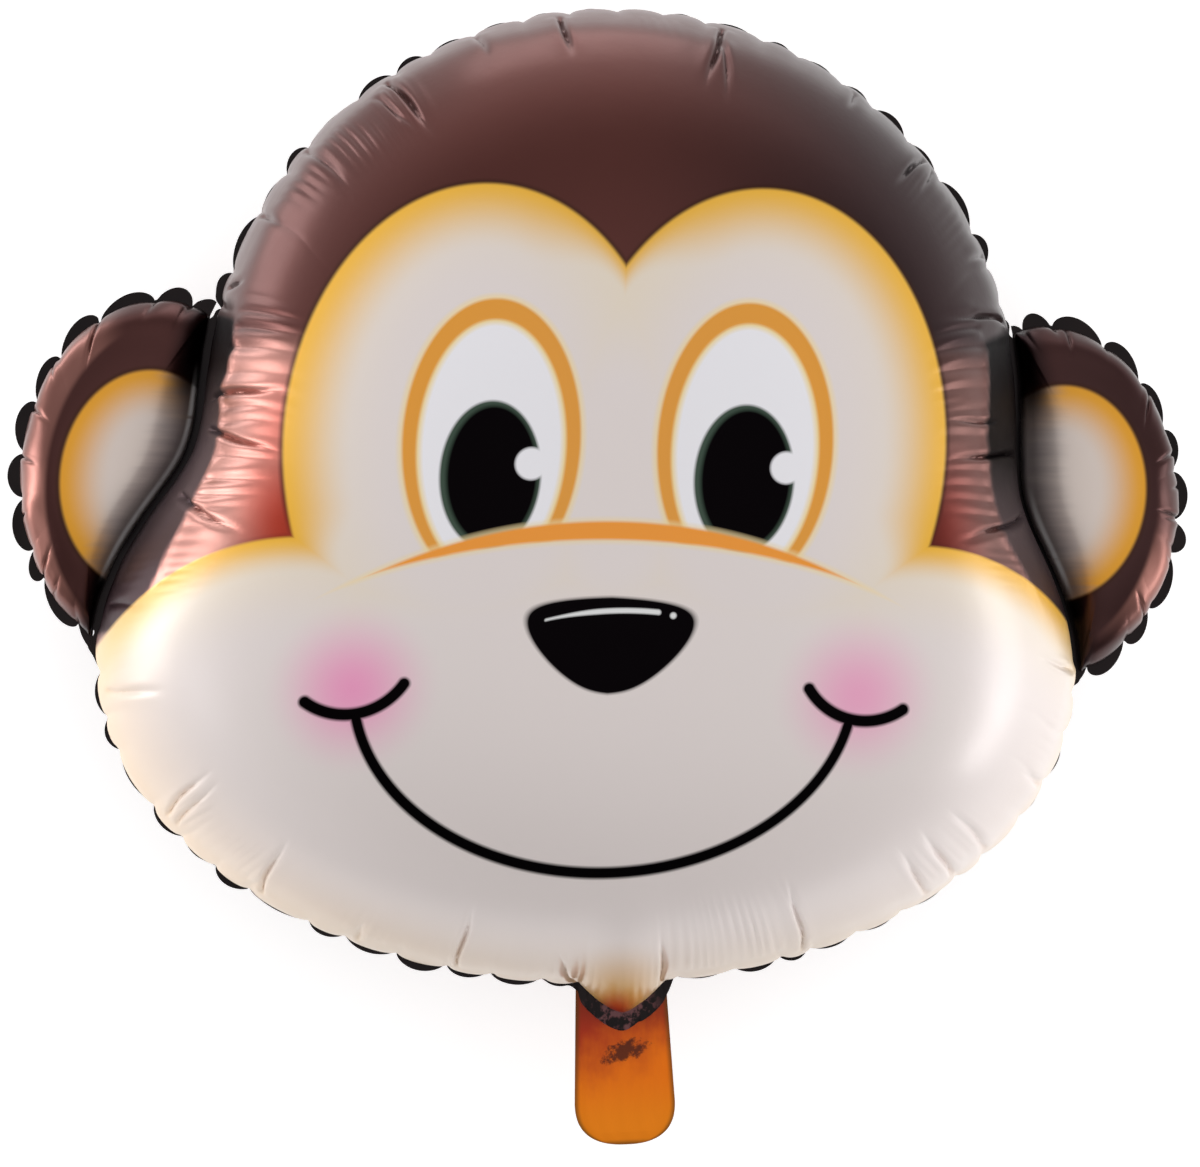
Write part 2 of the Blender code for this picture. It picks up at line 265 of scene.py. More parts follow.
# Folds in the film. Angles are degrees round the dome's middle, 0 to the right and 90 at the top;
# insets are metres along the film from the rim.
headFolds = {
    "overhang": [
        # at, how far the film swells out past its weld
        (172, 0.0018), (152, 0.0003), (112, 0.0003), (97, 0.0020), (72, 0.0020), (56, 0.0006), (30, 0.0004),
        (14, 0.0016), (0, 0.0020), (-30, 0.0010), (-62, 0.0005), (-130, 0.0003), (-170, 0.0005),
    ],
    "puff": 0.0014,
    "puffReach": 0.030,
    "pinchIn": 0.0010,
    "pinchDepth": 0.0018,
    "pinchWidth": 0.0020,
    "roll": (0.058, 0.016, 0.0010),  # soft ridge all round: inset, width, height
    "ridge": (0.0034, 0.0015),  # sharper one where the painted shade begins beside the ears
    "creases": [
        # at, from, to, depth, width, slant
        (96.1, 0.034, 0.088, 0.0044, 0.0017, -3),
        (78.8, 0.034, 0.108, 0.0046, 0.0018, 4),
        (77.2, 0.056, 0.114, 0.0024, 0.0017, -9),
        (51.8, 0.032, 0.092, 0.0040, 0.0018, 5),
        (49.4, 0.034, 0.076, 0.0024, 0.0017, -4),
        (62.0, 0.030, 0.066, 0.0024, 0.0020, 2),
        (38.5, 0.030, 0.072, 0.0026, 0.0020, 3),
        (105.5, 0.030, 0.070, 0.0026, 0.0019, -2),
        (116.1, 0.036, 0.114, 0.0042, 0.0020, -6),
        (118.0, 0.050, 0.104, 0.0022, 0.0017, -12),
        (128.6, 0.030, 0.106, 0.0026, 0.0022, -3),
        (138.0, 0.030, 0.074, 0.0024, 0.0020, -4),
        (147.0, 0.030, 0.062, 0.0032, 0.0018, -14),
        (159.9, 0.050, 0.130, 0.0046, 0.0015, -12),
        (167.1, 0.056, 0.132, 0.0046, 0.0015, 4),
        (178.6, 0.060, 0.136, 0.0048, 0.0016, 16),
        (32.0, 0.040, 0.116, 0.0036, 0.0015, 14),
        (19.0, 0.084, 0.130, 0.0028, 0.0014, 10),
        (13.3, 0.046, 0.132, 0.0046, 0.0015, 2),
        (2.6, 0.050, 0.134, 0.0046, 0.0016, -10),
        (-147.2, 0.034, 0.104, 0.0032, 0.0014, -7),
        (-145.5, 0.036, 0.102, 0.0024, 0.0013, -6),
        (-133.9, 0.032, 0.104, 0.0034, 0.0014, -9),
        (-120.5, 0.030, 0.070, 0.0028, 0.0020, -3),
        (-108.2, 0.034, 0.112, 0.0038, 0.0013, -3),
        (-93.8, 0.022, 0.082, 0.0030, 0.0013, -14),
        (-81.1, 0.024, 0.098, 0.0036, 0.0013, 0),
        (-62.1, 0.034, 0.120, 0.0036, 0.0013, 3),
        (-46.1, 0.036, 0.106, 0.0030, 0.0019, 2),
        (-42.2, 0.036, 0.106, 0.0036, 0.0020, 2),
        (-37.4, 0.034, 0.104, 0.0028, 0.0019, 1),
        (-28.0, 0.030, 0.070, 0.0026, 0.0020, 2),
        (-14.2, 0.030, 0.088, 0.0030, 0.0020, 0),
        (-160.4, 0.034, 0.096, 0.0026, 0.0019, 10),
        (-170.5, 0.030, 0.080, 0.0024, 0.0020, 5),
    ],
    "wrinkles": [
        # at, half width in degrees, from, to, pitch, depth, slant
        (121.5, 7, 0.048, 0.116, 0.0058, 0.0010, 0.05),
        (134.0, 6, 0.050, 0.098, 0.0068, 0.0005, 0.1),
        (154.0, 6.5, 0.064, 0.140, 0.0122, 0.0020, 0.26),
        (163.5, 3, 0.070, 0.136, 0.0120, 0.0012, 0.18),
        (172.6, 5, 0.078, 0.140, 0.0118, 0.0018, 0.10),
        (184.5, 5, 0.082, 0.130, 0.0070, 0.0004, 0.0),
        (28.5, 5.5, 0.080, 0.142, 0.0108, 0.0020, -0.24),
        (19.0, 3.2, 0.088, 0.138, 0.0110, 0.0013, -0.20),
        (8.0, 4.6, 0.090, 0.140, 0.0106, 0.0017, -0.10),
        (-4.0, 4, 0.084, 0.124, 0.0066, 0.0005, 0.0),
        (46.5, 7, 0.044, 0.096, 0.0062, 0.0006, 0.0),
        (84.0, 5, 0.036, 0.074, 0.0066, 0.0005, 0.0),
        (-140.0, 8, 0.040, 0.098, 0.0054, 0.0005, 0.0),
        (-118.0, 8, 0.040, 0.088, 0.0062, 0.0003, 0.0),
        (-71.0, 9, 0.044, 0.126, 0.0056, 0.0010, 0.0),
        (-43.0, 7, 0.050, 0.104, 0.0058, 0.0005, 0.0),
        (-93.5, 6, 0.022, 0.084, 0.0050, 0.0010, 0.0),
        (-84.0, 3.6, 0.024, 0.086, 0.0050, 0.0010, 0.0),
        (-20.0, 8, 0.040, 0.080, 0.0066, 0.0003, 0.0),
        (-168.0, 9, 0.040, 0.086, 0.0068, 0.0003, 0.0),
    ],
}
# Where the painted shade beside the ears begins: angle, inset
paintedShadeEdge = [
    (144, 0.040), (151, 0.063), (155, 0.073), (161.5, 0.067), (168, 0.078), (174, 0.081), (179, 0.086),
    (186, 0.084), (200, 0.060), (340, 0.060), (355, 0.083), (361, 0.095), (376, 0.096), (390, 0.080),
    (397, 0.050),
]
earFolds = {
    "overhang": [(0, 0.0010)],
    "puff": 0.0012,
    "puffReach": 0.009,
    "pinchIn": 0.0014,
    "pinchDepth": 0.0020,
    "pinchWidth": 0.0014,
    "roll": (0.021, 0.0090, 0.0016),
    "ridge": (0.0013, 0.0013),
    "ridgePlace": 0.0058,  # how far from the head's rim
    "creases": [],
    "wrinkles": [],
}
earCreases = {
    -1: [
        # at, from, to, depth, width, slant
        (91.8, 0.005, 0.042, 0.0022, 0.0011, 8),
        (131.5, 0.004, 0.036, 0.0024, 0.0011, -6),
        (166.8, 0.004, 0.034, 0.0024, 0.0011, 5),
        (-150.0, 0.004, 0.026, 0.0016, 0.0011, 3),
        (-116.0, 0.004, 0.036, 0.0022, 0.0011, -8),
        (-107.0, 0.006, 0.030, 0.0018, 0.0011, 4),
        (112.0, 0.004, 0.026, 0.0016, 0.0011, 4),
    ],
    1: [
        (103.7, 0.004, 0.030, 0.0018, 0.0011, 6),
        (68.1, 0.004, 0.038, 0.0024, 0.0011, -6),
        (39.8, 0.004, 0.040, 0.0022, 0.0011, 8),
        (16.0, 0.004, 0.028, 0.0016, 0.0011, -3),
        (-7.9, 0.004, 0.042, 0.0026, 0.0011, 4),
        (-10.2, 0.006, 0.036, 0.0018, 0.0010, -4),
        (-40.0, 0.004, 0.028, 0.0016, 0.0011, 5),
        (-69.3, 0.004, 0.036, 0.0022, 0.0011, -4),
    ],
}
backFolds = {
    "overhang": [(0, 0.0026)],
    "puff": 0.0018,
    "puffReach": 0.024,
    "pinchIn": 0.0014,
    "pinchDepth": 0.0020,
    "pinchWidth": 0.0024,
    "roll": (0.060, 0.011, 0.0010),
    "ridge": (0.0034, 0.0012),
    "creases": [(-147.2 + 24 * i, 0.030, 0.096 + 0.010 * (i % 4), 0.0040, 0.0025, 3) for i in range(15)],
    "wrinkles": [(12 + 45 * i, 12, 0.044, 0.112, 0.0074, 0.0008, 0.0) for i in range(8)],
}


def levelAt(angles, stops):
    # a value given at some angles in degrees, blended round between them
    places, values = zip(*stops)
    return np.interp(np.degrees(angles), places, values, period=360)


def fromHeadRim(x, y):
    # how far outside the head's rim a place is, along the line to the head's middle
    return np.hypot(x, y) - headRadius(np.arctan2(y, x))


def rimSwell(dome, folds, angles, inset, pinch, chance, seed):
    # the film swells out past its weld, puffs up between the pinches and rolls in a soft ridge further in
    which, through = dome.lobesAt(angles)
    lobeSize = dome.draws(chance, 0.75, 1.2)
    rounded = np.abs(np.sin(math.pi * through)) ** 0.75
    fromWeld = smoothStep(0, rimLobes["weldFade"], inset)
    out = levelAt(angles, folds["overhang"])[:, None] * pinch * fromWeld
    out = out * np.exp(-((inset / rimLobes["overhangReach"]) ** 2))
    puffFade = fromWeld * np.exp(-((inset / folds["puffReach"]) ** 1.5))
    out = out + folds["puff"] * pinch * (lobeSize[which] * (rounded - 0.4))[:, None] * puffFade
    place, width, height = folds["roll"]
    sway = 1 + 0.35 * np.sin(3 * angles + seed) + 0.25 * np.sin(8 * angles + 2 * seed)
    wander = place * (1 + 0.10 * np.sin(5 * angles + seed))[:, None]
    return out + height * pinch * sway[:, None] * np.exp(-(((inset - wander) / width) ** 2))


def pinchLines(dome, folds, angles, reach, inset, pinch, chance):
    # the short groove that runs in from each pinch of the rim
    lobeReach = dome.draws(chance, 0.7, 1.5)
    out = 0
    for i, end in enumerate(dome.lobeEnds[:-1]):
        at = np.interp(end, dome.fineRun, dome.fineAngles)
        across = turnedBy(angles, at)[:, None] * reach
        wander = 0.0016 * np.sin(inset / 0.011 + chance.uniform(0, 6))
        width = folds["pinchWidth"] * chance.uniform(0.8, 1.3)
        long = folds["puffReach"] * (0.5 + 0.9 * chance.random()) * lobeReach[i]
        fade = smoothStep(0, 0.006, inset) * np.clip(1 - inset / (2.2 * long), 0, 1) ** 1.5
        out = out - folds["pinchDepth"] * pinch * fade * np.exp(-np.abs((across - wander) / width) ** 1.2)
    return out


def weldRidge(dome, folds, angles, reach, inset):
    # the sharper ridge along the weld between head and ear, on the head's film and on the ear's
    width, height = folds["ridge"]
    if dome is headDome:
        past = inset - levelAt(angles, paintedShadeEdge)[:, None]
        ridge = np.where(past < 0, np.exp(past / (3 * width)), np.exp(-past / width))
        upper = smoothStep(-0.050, -0.020, headRadius(angles) * np.sin(angles))
        return height * (earCover(angles) * upper)[:, None] * ridge
    off = (fromHeadRim(*dome.plan(angles[:, None], reach)) - folds["ridgePlace"]) / width
    return height * np.exp(-(off**2)) * smoothStep(0.0, 0.004, inset)


def creaseLines(folds, angles, reach, inset):
    # single sharp creases, each with a low shoulder on both sides
    out = 0
    for at, start, end, depth, width, slant in folds["creases"]:
        across = turnedBy(angles, math.radians(at))[:, None] * reach
        across = across - np.tan(math.radians(slant)) * (inset - (start + end) / 2)
        across = across - 0.0005 * np.sin(inset / 0.009 + at)
        fade = smoothStep(start - 0.003, start + 0.006, inset)
        fade = fade * (1 - smoothStep(end - 0.55 * (end - start), end, inset))
        line = np.exp(-np.abs(across / width) ** 1.3) - 0.30 * np.exp(-((across / (3.4 * width)) ** 2))
        out = out - depth * fade * line
    return out


def wrinkleBands(dome, folds, angles, inset):
    # bands of fine wrinkles side by side, wavering and uneven
    out = 0
    for at, half, start, end, pitch, depth, slant in folds["wrinkles"]:
        run = dome.runAt(angles)[:, None] + 0.0006 * np.sin(inset / 0.014 + at)
        run = run + slant * (inset - (start + end) / 2)
        waver = 0.9 * np.sin(run / (2.3 * pitch) + at) + 0.6 * np.sin(run / (0.9 * pitch) + 2 * at)
        wave = np.sqrt(np.sin(math.pi * run / pitch + waver) ** 2 + 0.05) - 0.6
        wave = wave * (0.75 + 0.45 * np.sin(run / (1.3 * pitch) + inset / 0.017 + 3 * at))
        fade = smoothStep(start, start + 0.008, inset) * (1 - smoothStep(end - 0.035, end, inset))
        out = out + depth * stretchAt(angles, at, math.radians(half))[:, None] * fade * wave
    return out


def foldDepth(dome, folds, angles, reach, inset, seed):
    # how far the film stands out from its smooth form, along its own normal
    chance = random.Random(seed)
    pinch = dome.pinchAt(angles)[:, None]
    out = rimSwell(dome, folds, angles, inset, pinch, chance, seed)
    out = out + pinchLines(dome, folds, angles, reach, inset, pinch, chance)
    out = out + creaseLines(folds, angles, reach, inset) + wrinkleBands(dome, folds, angles, inset)
    return out + weldRidge(dome, folds, angles, reach, inset)


def spreadAngles(dome, folds, around):
    # angles round a dome, closer together where there are folds
    turn = np.linspace(0, 2 * math.pi, 7201)
    crowd = np.ones_like(turn)
    for at, *_ in folds["creases"]:
        crowd = crowd + 1.6 * np.exp(-((turnedBy(dome.seamAngle + turn, math.radians(at)) / 0.022) ** 2))
    for at, half, *_, slant in folds["wrinkles"]:
        crowd = crowd + (0.7 + 3 * abs(slant)) * stretchAt(dome.seamAngle + turn, at, math.radians(half))
    summed = np.concatenate([[0], np.cumsum((crowd[1:] + crowd[:-1]) / 2)])
    return dome.seamAngle + np.interp(np.linspace(0, summed[-1], around + 1), summed, turn)


def contours(dome, angles, share):
    # the rim's shape at each share of the way out: its waves die away inwards, the finest first
    turn = np.linspace(0, 2 * math.pi, 2000, endpoint=False)
    waves = np.fft.rfft(dome.radiusAt(turn))
    order = np.arange(len(waves))
    faded = waves[:, None] * np.maximum(share, 1e-9) ** (rimLobes["rounding"] * order[:, None])
    rings = np.fft.irfft(faded, n=len(turn), axis=0)
    reach = [np.interp(angles, turn, rings[:, j], period=2 * math.pi) for j in range(share.shape[1])]
    return share * np.stack(reach, axis=1)


def domeTable(dome, folds, angles, out, flatTo=None, seed=1):
    # places of a dome's points: first index round from the seam, second from middle to rim
    around = len(angles) - 1
    share = np.sin(math.pi / 2 * np.linspace(0, 1, out + 1) ** 0.62)[None, :]
    reach = contours(dome, angles, share)
    reach = reach + dome.neckAt(angles)[:, None] * share ** head["neckFade"]
    height = np.repeat(dome.halfDepth * foilHeight(share), around + 1, axis=0)
    reachStep, heightStep = np.gradient(reach, axis=1), np.gradient(height, axis=1)
    length = np.hypot(reachStep, heightStep)
    length[length == 0] = 1
    normalOut, normalUp = -heightStep / length, reachStep / length
    pieces = np.hypot(np.diff(reach, axis=1), np.diff(height, axis=1))
    inset = np.zeros_like(reach)
    inset[:, :-1] = np.cumsum(pieces[:, ::-1], axis=1)[:, ::-1]
    through = dome.lobesAt(angles)[1]
    rounded = np.abs(np.sin(math.pi * through)) ** 0.6
    drawnIn = folds["pinchIn"] * (dome.pinchAt(angles) * (1 - rounded))[:, None]
    fromMiddle = smoothStep(0.0, 0.15, share)
    fold = foldDepth(dome, folds, angles, reach, inset, seed) * fromMiddle
    reach = reach + normalOut * fold - drawnIn * np.exp(-inset / rimLobes["pinchReach"]) * fromMiddle
    height = np.maximum(height + normalUp * fold, 0)
    if flatTo is not None:
        soft = 0.0012
        height = (height + flatTo - np.sqrt((height - flatTo) ** 2 + soft**2)) / 2
    x, y = dome.plan(angles[:, None], reach)
    return np.stack([x + middleX, y + middleY, height + filmLift], axis=2), inset


def shapeGrid(table, side, values=None):
    # a grid of quads bent onto a table of places, with a value kept at each point for the painted shade
    around, out = table.shape[0] - 1, table.shape[1] - 1
    bm = bmesh.new()
    kept = bm.verts.layers.float.new("printFade")
    bm.loops.layers.uv.new("UVMap")
    bmesh.ops.create_grid(bm, x_segments=around, y_segments=out, size=1, calc_uvs=True)
    for vert in bm.verts:
        i = round((vert.co.x + 1) / 2 * around)
        j = round((vert.co.y + 1) / 2 * out)
        x, y, z = table[i, j]
        vert.co = (x, y, weldZ + side * z)
        if values is not None:
            vert[kept] = values[i, j]
    return bm


def addObject(name, data):
    made = bpy.data.objects.new(name, data)
    bpy.context.scene.collection.objects.link(made)
    return made


def meshObject(name, bm, material):
    mesh = bpy.data.meshes.new(name)
    bm.to_mesh(mesh)
    bm.free()
    mesh.materials.append(material)
    return addObject(name, mesh)


# the solid that the film on each side stands for, and its finish
sheets = {1: ("front_sheet", "printed_front"), -1: ("back_sheet", "plain_back")}


def finishPiece(name, bm, side, material):
    bmesh.ops.recalc_face_normals(bm, faces=bm.faces)
    piece = meshObject(name, bm, material)
    piece.data.shade_smooth()
    piece.data.set_sharp_from_angle(angle=math.radians(55))
    node, slot = sheets[side]
    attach(piece, "root")
    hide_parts(node)
    return piece


def paintedShadeBesideEars(dome, table, angles, inset):
    # painted shade in the valley: where the film is painted dark on both sides of the weld between the head
    # and an ear
    if dome is headDome:
        past = inset - levelAt(angles, paintedShadeEdge)[:, None]
        return smoothStep(1.04, 0.98, earCloseness(angles))[:, None] * (1 - smoothStep(-0.003, 0.002, past))
    x, y = table[:, :, 0] - middleX, table[:, :, 1] - middleY
    return np.clip((0.030 - fromHeadRim(x, y)) / 0.026, 0, 1.3)


def filmPiece(name, dome, folds, around, out, side, material, flatTo=None, seed=1):
    angles = spreadAngles(dome, folds, around)
    table, inset = domeTable(dome, folds, angles, out, flatTo, seed)
    bm = shapeGrid(table, side, paintedShadeBesideEars(dome, table, angles, inset))
    bmesh.ops.remove_doubles(bm, verts=bm.verts, dist=1e-6)
    bmesh.ops.edgeloop_fill(bm, edges=[edge for edge in bm.edges if edge.is_boundary])
    return finishPiece(name, bm, side, material)


def marginPiece(name, dome, widthAt, around, material, seed, unevenAt=np.zeros_like, liftAt=np.zeros_like):
    # the black welded strip: flat under the film, scalloped and wavy where it sticks out
    chance = random.Random(seed)
    angles = dome.seamAngle + np.linspace(0, 2 * math.pi, around + 1)
    uneven, raised = unevenAt(angles), liftAt(angles)
    which, through = dome.lobesAt(angles)
    tilt, size = dome.draws(chance, -1, 1), dome.draws(chance, 0.8, 1.1)
    patchy = np.array([chance.choice((0.35, 1.0, 1.5)) for _ in dome.lobeEnds])
    lobe = np.abs(np.sin(math.pi * through)) ** 0.38
    pinch = dome.pinchAt(angles)
    rim = dome.radiusAt(angles) + dome.neckAt(angles)
    rim = rim - rimLobes["pinchIn"] * pinch * (1 - np.abs(np.sin(math.pi * through)) ** 0.6)
    width = widthAt(angles)
    scallop = 0.12 + 0.88 * lobe * (size[which] + uneven * (patchy[which] - size[which]))
    reachOut = width * (1 + pinch * (scallop - 1))
    rows = np.array([-0.0030, 0.0, 0.35, 0.7, 1.0])
    table = np.zeros((around + 1, len(rows), 3))
    for j, row in enumerate(rows):
        reach = rim + (row if row < 0 else row * reachOut)
        lift = 0 if row <= 0 else row * row * 0.10 * reachOut * tilt[which] * lobe * pinch
        x, y = dome.plan(angles, reach)
        crumple = np.sin(angles * 610 + 2.1 * row) * np.sin(angles * 233 + 5 * row) * (0.4 + row)
        z = lift + raised * (1 + 0.30 * np.clip(crumple, -1, 1))
        table[:, j] = np.stack([x + middleX, y + middleY, z], axis=1)
    bm = shapeGrid(table, 1)
    bmesh.ops.remove_doubles(bm, verts=bm.verts, dist=1e-6)
    bmesh.ops.recalc_face_normals(bm, faces=bm.faces)
    bmesh.ops.solidify(bm, geom=bm.faces[:], thickness=rimLobes["weldThickness"])
    bmesh.ops.translate(bm, verts=bm.verts, vec=(0, 0, rimLobes["weldThickness"] / 2))
    return finishPiece(name, bm, 1, material)


# Shader maths as plain expressions
class Wire:
    def __init__(self, book, socket):
        self.book, self.socket = book, socket

    def math(self, operation, *others, clamp=False):
        settings = {"operation": operation, "use_clamp": clamp}
        return self.book.node("ShaderNodeMath", settings, [self, *others])

    def vector(self, operation, *others, output=0):
        return self.book.node("ShaderNodeVectorMath", {"operation": operation}, [self, *others], output)

    def __add__(self, other):
        return self.math("ADD", other)

    __radd__ = __add__

    def __sub__(self, other):
        return self.math("SUBTRACT", other)

    def __rsub__(self, other):
        return self.book.node("ShaderNodeMath", {"operation": "SUBTRACT"}, [other, self])

    def __mul__(self, other):
        return self.math("MULTIPLY", other)

    __rmul__ = __mul__

    def __truediv__(self, other):
        return self.math("DIVIDE", other)

    def __rtruediv__(self, other):
        return self.book.node("ShaderNodeMath", {"operation": "DIVIDE"}, [other, self])

    def __neg__(self):
        return self.math("MULTIPLY", -1.0)

    def abs(self):
        return self.math("ABSOLUTE")

    def sqrt(self):
        return self.math("SQRT")

    def min(self, other):
        return self.math("MINIMUM", other)

    def max(self, other):
        return self.math("MAXIMUM", other)

    def length(self):
        return self.vector("LENGTH", output=1)

    def along(self, way):
        return self.vector("DOT_PRODUCT", (*way, 0), output=1)

    def distance(self, centre):
        return self.vector("DISTANCE", (*centre, 0), output=1)


class ShaderBook:
    # one material's nodes
    def __init__(self, name, world=None):
        self.material = world or bpy.data.materials.new(name)
        self.material.use_nodes = True
        self.tree = self.material.node_tree
        self.shader = self.tree.nodes["Background" if world else "Principled BSDF"]

    def node(self, kind, settings, inputs, output=0):
        made = self.tree.nodes.new(kind)
        for key, value in settings.items():
            if key == "stops":
                self.fillRamp(made.color_ramp, value)
            else:
                setattr(made, key, value)
        named = inputs.items() if isinstance(inputs, dict) else enumerate(inputs)
        for key, value in named:
            if isinstance(value, Wire):
                self.tree.links.new(value.socket, made.inputs[key])
            else:
                made.inputs[key].default_value = value
        return Wire(self, made.outputs[output])

    def fillRamp(self, ramp, stops):
        while len(ramp.elements) < len(stops):
            ramp.elements.new(1.0)
        for element, (place, colour) in zip(ramp.elements, stops):
            element.position, element.color = place, colour

    def mix(self, factor, first, second):
        settings = {"data_type": "RGBA"}
        return self.node("ShaderNodeMix", settings, {0: factor, 6: first, 7: second}, 2)

    def step(self, low, high, value):
        settings = {"interpolation_type": "SMOOTHSTEP"}
        return self.node("ShaderNodeMapRange", settings, {0: value, 1: low, 2: high, 3: 0.0, 4: 1.0})

    def noise(self, where, scale, detail=2.0, roughness=0.5):
        inputs = {"Vector": where, "Scale": scale, "Detail": detail, "Roughness": roughness}
        return self.node("ShaderNodeTexNoise", {}, inputs)

    def place(self):
        return self.node("ShaderNodeTexCoord", {}, {}, 3)

    def printFade(self):
        # the value kept at each point: on a film how dark its painted shade beside the ears is, on the tail
        # how far it is from its edge
        return self.node("ShaderNodeAttribute", {"attribute_name": "printFade"}, {}, 2)

    def over(self, colour, *layers):
        # inks, painted shade and painted highlights laid one over another, each where its mask is 1
        for mask, ink in layers:
            colour = self.mix(mask, colour, inks[ink])
        return colour

    def feed(self, socket, value):
        if isinstance(value, Wire):
            self.tree.links.new(value.socket, self.shader.inputs[socket])
        else:
            self.shader.inputs[socket].default_value = value


def srgb(red, green, blue):
    # a colour given as a screen shows it, 0 to 255
    def linear(value):
        value /= 255
        return value / 12.92 if value <= 0.04045 else ((value + 0.055) / 1.055) ** 2.4

    return (linear(red), linear(green), linear(blue), 1.0)


# Inks, and the colours of painted shade, shadow and highlights, as a screen shows them
inks = {
    name: srgb(*screen)
    for name, screen in {
        "brown": (86, 44, 39),
        "maskLine": (58, 28, 10),
        "cream": (240, 229, 226),
        "creamEdge": (250, 236, 170),
        "gold": (246, 186, 52),
        "eyeRing": (240, 160, 40),
        "arc": (255, 158, 28),
        "eyeHalo": (255, 228, 166),
        "eyeWhite": (252, 250, 255),
        "pupilRim": (26, 60, 38),
        "black": (6, 3, 5),
        "nearWhite": (240, 240, 240),
        "blush": (255, 146, 202),
        "shade": (92, 76, 80),
        "shadeLow": (62, 45, 50),
        "bandHigh": (172, 122, 112),
        "slate": (44, 29, 31),
        "creamWarm": (246, 228, 192),
        "bandLow": (196, 66, 46),
        "neckYellow": (206, 156, 76),
        "chinEdge": (208, 184, 156),
        "cheekEdge": (250, 214, 168),
        "neckSmear": (112, 58, 62),
        "scuff": (250, 246, 244),
        "innerEar": (224, 209, 200),
        "innerEarGold": (232, 160, 20),
        "innerEarDark": (150, 137, 138),
        "earRim": (156, 106, 96),
        "tail": (236, 116, 0),
        "tailTop": (170, 48, 16),
        "tailLow": (240, 142, 6),
        "tailEdge": (84, 62, 18),
        "smudge": (62, 20, 12),
    }.items()
}

# Places of the printed face, in metres from the middle of the head, for its right-hand half.
# An ellipse is its centre and its half sizes.
face = {
    "printDistance": 2.0,  # the print is laid out as seen from this far straight ahead
    "skewX": 0.02,
    "skewY": 0.012,
    "brow": ((0.076, 0.048), (0.105, 0.142)),
    "cheek": ((0.170, -0.122), 0.1175),
    "middle": ((0.0, -0.100), (0.240, 0.110)),
    "bridge": ((0.0, 0.030), (0.075, 0.108)),
    "chinTop": -0.090,
    "rimFade": 0.025,
    "eye": ((0.0692, 0.0483), (0.0483, 0.078)),
    "eyeWhite": ((0.0692, 0.0450), (0.0406, 0.0700)),
    "pupil": ((0.0692, 0.0300), (0.0275, 0.0405)),
    "pupilDark": ((0.0692, 0.0300), (0.0248, 0.0378)),
    "pupilDarkShift": 0.0009,
    "glint": ((0.0697, 0.0364), 0.0087),
    "glintShift": 0.0225,
    "arcTop": (0.0056, 0.294),  # an arc is its height on the middle line and its radius
    "arcBottom": (-0.0042, 0.430),
    "noseTop": (-0.0333, 0.873),
    "noseSide": ((-0.0593, 0.0308), 0.1413),
    "noseBottom": (-0.0890, -0.160),
    "noseRounding": 0.0235,
    "noseChinRounding": 0.0057,
    "noseTrim": 0.0008,
    "noseGlint": (0.0100, -0.0428, 0.184, -0.0049, 0.0305, 0.0013),
    "noseDot": ((0.0338, -0.0452), 0.0016),
    "mouth": ((-0.0011, -0.0838), (0.1363, 0.1009)),
    "mouthTop": -0.101,
    "lineHalf": 0.0031,
    "dimpleCentre": (0.1415, -0.0635),
    "dimpleRadius": 0.0372,
    "dimpleMiddle": 259,  # degrees
    "dimpleHalfTurn": 46,
    "blushCentre": (0.1375, -0.0865),
    "blushRadius": 0.050,
    "earPatch": ((0.2488, 0.0286), (0.0475, 0.0593)),
    "outline": 0.0006,  # the dark line round the mask and the ears' patches lies this far outside them
    "outlineHalf": 0.0010,
    "softness": 0.0009,
    "neckTip": (0.0180, -0.2600),
    "neckYellow": 0.042,
    "neckOrange": 0.017,
}


def printPlace(book):
    # where a point of the film falls on the flat print, and the film's height over the weld plane
    place = book.place()
    parts = book.node("ShaderNodeSeparateXYZ", {}, [place])
    x, y, z = (Wire(book, output) for output in parts.socket.node.outputs)
    rise = z - weldZ
    enlarge = face["printDistance"] / (face["printDistance"] - rise)
    flatX = (x - middleX) * enlarge
    flatY = (y - middleY) * enlarge
    return place, flatX - flatY * face["skewX"], flatY - flatX * face["skewY"], rise


def flat(book, x, y):
    return book.node("ShaderNodeCombineXYZ", {}, {0: x, 1: y, 2: 0.0})


def circle(spot, centre, radius):
    # distance from a circle's edge, less than 0 inside
    return spot.distance(centre) - radius


def arch(spot, top, radius):
    # a circle on the middle line, by its highest point, or its lowest where the radius is given below 0
    return circle(spot, (0, top - radius), abs(radius))


def ellipse(spot, centre, half):
    spread = spot.vector("SUBTRACT", (*centre, 0)).vector("DIVIDE", (*half, 1))
    out = spread.length()
    steep = spread.vector("DIVIDE", (*half, 1)).length().max(1e-5)
    return (out - 1) * out / steep


def rounded(first, second, radius):
    # what two shapes share, with their corner rounded off
    gap = (first - second) * (first - second) + radius**2
    return (first + second + gap.sqrt()) * 0.5


def inside(distance, softness=None):
    # 1 within a shape and 0 outside it, with a soft edge
    width = softness or face["softness"]
    return (0.5 - distance / (2 * width)).math("ADD", 0.0, clamp=True)


def outline(shape):
    # the thin dark line printed round a shape
    return inside((shape - face["outline"]).abs() - face["outlineHalf"], 0.0012)


